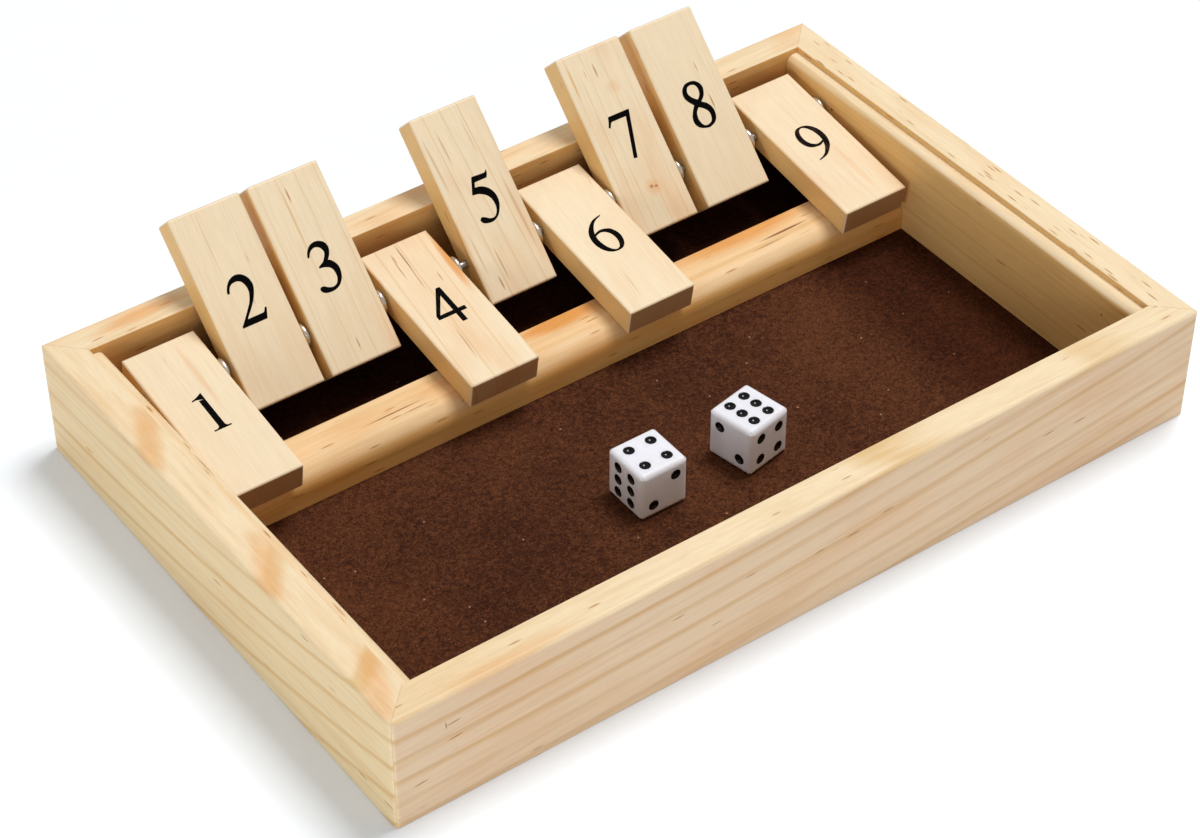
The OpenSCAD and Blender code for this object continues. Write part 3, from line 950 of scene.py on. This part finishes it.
def gloss_paint(name, paint):
    """Gloss enamel that has pooled in a pip, with a faint ripple."""
    material, add, place = new_material(name)
    ripple = add("VectorMath", (place, RIPPLE_SIZE), operation="DIVIDE")
    ripple = add("TexNoise", (ripple, 1.0, 1.0))
    thin = add("MapRange", (ripple, 0.4, 0.8), **SMOOTH)
    shade = add("Mix", (thin, paint, PAINT_THIN), **BLEND)
    gloss = add("MapRange", (ripple, 0.3, 0.7, 0.05, 0.1), **SMOOTH)
    bump = add("Bump", {"Height": ripple, "Strength": 0.2, "Distance": 0.02 * MM})
    inputs = {"Base Color": shade, "Roughness": gloss, "Specular IOR Level": 0.3, "Normal": bump}
    add("OutputMaterial", (add("BsdfPrincipled", inputs),))
    return material


def pip_places(number, dice):
    """Places of a number's pips on its face, from the middle: two rows of three, or corners."""
    if number == 6:
        steps, sides = (-1, 0, 1), (-0.5, 0.5)
        return [(k * dice.six_step, side * dice.six_gap) for k in steps for side in sides]
    half = dice.square / 2
    places = [(0, 0)] * (number % 2)
    places += [(-half, -half), (half, half)] * (number > 1)
    return places + [(-half, half), (half, -half)] * (number > 3)


def paint_pool(radius, depth, coat):
    """Paint in one pip, round the origin at the face's height: a thin closed shell on the hollow.

    The hollow is part of a ball whose radius is (r^2 + d^2) / 2d. A point of the shell is at an
    angle a from straight down and b round the pip, on a ball of the same centre: a little
    smaller for the top of the paint, which goes from the middle to the rim, and a little larger
    for its underside, which comes back from the rim. A fan closes each middle.
    """
    ball = (radius**2 + depth**2) / (2 * depth)
    centre = ball - depth
    top, under = ball - coat, ball + coat
    angles = np.linspace(0, math.acos((centre + PAINT_MARGIN) / top), PIP_RINGS + 1)[1:]
    balls = np.repeat([top, under], PIP_RINGS)[:, None]
    a = np.concatenate([angles, angles[::-1]])[:, None]
    b = np.linspace(0, 2 * math.pi, PIP_SPOKES, endpoint=False)[None, :]
    reach = balls * np.sin(a)
    height = centre - balls * np.cos(a) + 0 * b
    rings = np.stack([reach * np.cos(b), reach * np.sin(b), height], axis=-1)
    points = np.concatenate([rings.reshape(-1, 3), [[0, 0, centre - top], [0, 0, centre - under]]])
    rows = np.arange(2 * PIP_RINGS - 1) * PIP_SPOKES
    ring, spoke = np.meshgrid(rows, np.arange(PIP_SPOKES), indexing="ij")
    here, after = (ring + spoke).ravel(), (ring + (spoke + 1) % PIP_SPOKES).ravel()
    strips = [(here, here + PIP_SPOKES, after + PIP_SPOKES), (here, after + PIP_SPOKES, after)]
    spokes = np.arange(PIP_SPOKES)
    turned = np.roll(spokes, -1)
    last, pole = (2 * PIP_RINGS - 1) * PIP_SPOKES, 2 * PIP_RINGS * PIP_SPOKES
    fans = [
        (spokes * 0 + pole, spokes, turned),
        (spokes * 0 + pole + 1, last + turned, last + spokes),
    ]
    return points, np.concatenate([np.stack(part, axis=-1) for part in strips + fans])


class SHUTBOX_OT_dice(bpy.types.Operator):
    """Give both dice their plastic and paint their pips"""

    bl_idname = "shutbox.dice"
    bl_label = "Dice"

    def execute(self, context):
        dice = context.scene.shutbox_dice
        plastic = moulded_plastic("moulded dice plastic", dice)
        paint = gloss_paint("gloss black enamel", dice.paint)
        pool, faces = paint_pool(dice.pip_width / 2, dice.pip_depth, dice.coat)
        for die, turn in (("left_die", dice.left_turn), ("right_die", dice.right_turn)):
            paint_node(die, plastic)
            low, high = (np.array(corner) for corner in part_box(die))
            roll = [math.radians(degrees) for degrees in DIE_ROLLS[die]]
            lie = Euler((0, 0, turn)).to_matrix() @ Euler((*roll, 0)).to_matrix()
            shells = []
            for number, turns in DIE_FACES.items():
                face = Euler((*(math.radians(degrees) for degrees in turns), 0)).to_matrix()
                matrix = np.array(lie @ face)
                for x, y in pip_places(number, dice):
                    spot = pool + (x, y, (high[2] - low[2]) / 2)
                    shells.append((spot @ matrix.T + (low + high) / 2, faces))
            make_piece(f"{die}_pips", shells, paint, die, smooth=True)
        return {"FINISHED"}


# ---- stage

FLOOR_SIZE = 6.0
FLOOR_GAP = 0.1 * MM
FLOOR_SEEN = srgb("F9FDFF")
FLOOR_LIFT, LIFT_TINT = 0.08, srgb("B8D4FF")  # a little light of its own keeps the table white
SPECKLE_SIZE = (16, 16, 16)
# Each lamp: the setting that holds its share of the light, its place and its width
LAMPS = {
    "overhead softbox": ("key", (1.3, 0.2, 3.7), 1.4),
    "side softbox": ("side", (-1.55, -0.8, 0.28), 0.5),
}


def table_paint(name, stage):
    """Matt paint on the table: full white where it is seen, so that only the shadow is grey."""
    material, add, place = new_material(name)
    speckle = add("VectorMath", (place, SPECKLE_SIZE), operation="DIVIDE")
    speckle = add("TexNoise", (speckle, 1.0, 2.0))
    speckle = add("MapRange", (speckle, 0.3, 0.7, 0.99, 1.0), **SMOOTH)
    seen = add("LightPath").outputs["Is Camera Ray"]
    white = add("Mix", (seen, stage.floor, FLOOR_SEEN), **BLEND)
    matt = add("BsdfDiffuse", (add("Mix", (1.0, white, speckle), **TINT),))
    lift = add("Math", (seen, FLOOR_LIFT), operation="MULTIPLY")
    lift = add("Emission", (LIFT_TINT, lift))
    add("OutputMaterial", (add("AddShader", (matt, lift)),))
    return material


class SHUTBOX_OT_stage(bpy.types.Operator):
    """Set up the white table, the lamps, the sky and the camera"""

    bl_idname = "shutbox.stage"
    bl_label = "Stage"

    def execute(self, context):
        scene = context.scene
        stage = scene.shutbox_stage
        half = FLOOR_SIZE / 2
        sides = ((-half, -half), (half, -half), (half, half), (-half, half))
        corners = [(x, y, -FLOOR_GAP) for x, y in sides]
        mesh = bpy.data.meshes.new("table")
        mesh.from_pydata(corners, [], [(0, 1, 2, 3)])
        mesh.materials.append(table_paint("matt white table", stage))
        table = bpy.data.objects.new("table", mesh)
        scene.collection.objects.link(table)

        world = bpy.data.worlds.new("white studio")
        world.use_nodes = True
        world.node_tree.nodes.clear()
        add = partial(add_node, world.node_tree)
        seen = add("LightPath").outputs["Is Camera Ray"]
        strength = add("MapRange", (seen, 0.0, 1.0, stage.sky, 1.0))
        sky = add("Background", {"Color": (1, 1, 1, 1), "Strength": strength})
        add("OutputWorld", (sky,))
        scene.world = world

        # A lamp of power P at distance D lights a surface that faces it by P / (pi D^2), and a
        # share of one is pi, at which a colour renders as it is written
        for name, (setting, place, width) in LAMPS.items():
            lamp = bpy.data.lights.new(name, "AREA")
            lamp.size = width
            lamp.energy = getattr(stage, setting) * (math.pi * Vector(place).length) ** 2
            light = bpy.data.objects.new(name, lamp)
            light.location = place
            light.rotation_euler = Vector(place).to_track_quat("Z", "Y").to_euler()
            scene.collection.objects.link(light)

        camera = bpy.data.cameras.new("camera")
        camera.sensor_width, camera.lens = 36.0, stage.lens
        camera.clip_start, camera.clip_end = 0.05, 20.0
        across, height = math.cos(stage.elevation), math.sin(stage.elevation)
        back = (math.sin(stage.azimuth) * across, -math.cos(stage.azimuth) * across, height)
        holder = bpy.data.objects.new("camera", camera)
        holder.location = Vector(stage.target) + Vector(back) * stage.distance
        holder.rotation_euler = Vector(back).to_track_quat("Z", "Y").to_euler()
        scene.collection.objects.link(holder)
        scene.camera = holder
        scene.view_settings.view_transform = "Standard"
        return {"FINISHED"}


# ---- add-on

STEPS = (
    SHUTBOX_OT_walls,
    SHUTBOX_OT_trim,
    SHUTBOX_OT_floor,
    SHUTBOX_OT_hardware,
    SHUTBOX_OT_tiles,
    SHUTBOX_OT_numerals,
    SHUTBOX_OT_dice,
    SHUTBOX_OT_stage,
)
SETTINGS = {
    "shutbox_pine": PineSettings,
    "shutbox_ink": InkSettings,
    "shutbox_felt": FeltSettings,
    "shutbox_dice": DiceSettings,
    "shutbox_metal": MetalSettings,
    "shutbox_stage": StageSettings,
}


class SHUTBOX_PT_panel(bpy.types.Panel):
    """Lists the pieces of the game and their settings"""

    bl_idname = "SHUTBOX_PT_panel"
    bl_label = "Shut the Box"
    bl_space_type = "VIEW_3D"
    bl_region_type = "UI"
    bl_category = "Shut the Box"

    def draw(self, context):
        for step in STEPS:
            self.layout.operator(step.bl_idname)
        for name, group in SETTINGS.items():
            box = self.layout.box()
            box.label(text=group.__name__)
            for key in group.__annotations__:
                box.prop(getattr(context.scene, name), key)


def register():
    for group in SETTINGS.values():
        bpy.utils.register_class(group)
    for name, group in SETTINGS.items():
        setattr(bpy.types.Scene, name, PointerProperty(type=group))
    for step in (*STEPS, SHUTBOX_PT_panel):
        bpy.utils.register_class(step)


def unregister():
    for step in (SHUTBOX_PT_panel, *reversed(STEPS)):
        bpy.utils.unregister_class(step)
    for name in SETTINGS:
        delattr(bpy.types.Scene, name)
    for group in SETTINGS.values():
        bpy.utils.unregister_class(group)


def main():
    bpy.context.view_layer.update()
    register()
    for step in STEPS:
        group, operation = step.bl_idname.split(".")
        getattr(getattr(bpy.ops, group), operation)()


if __name__ == "__main__":
    main()
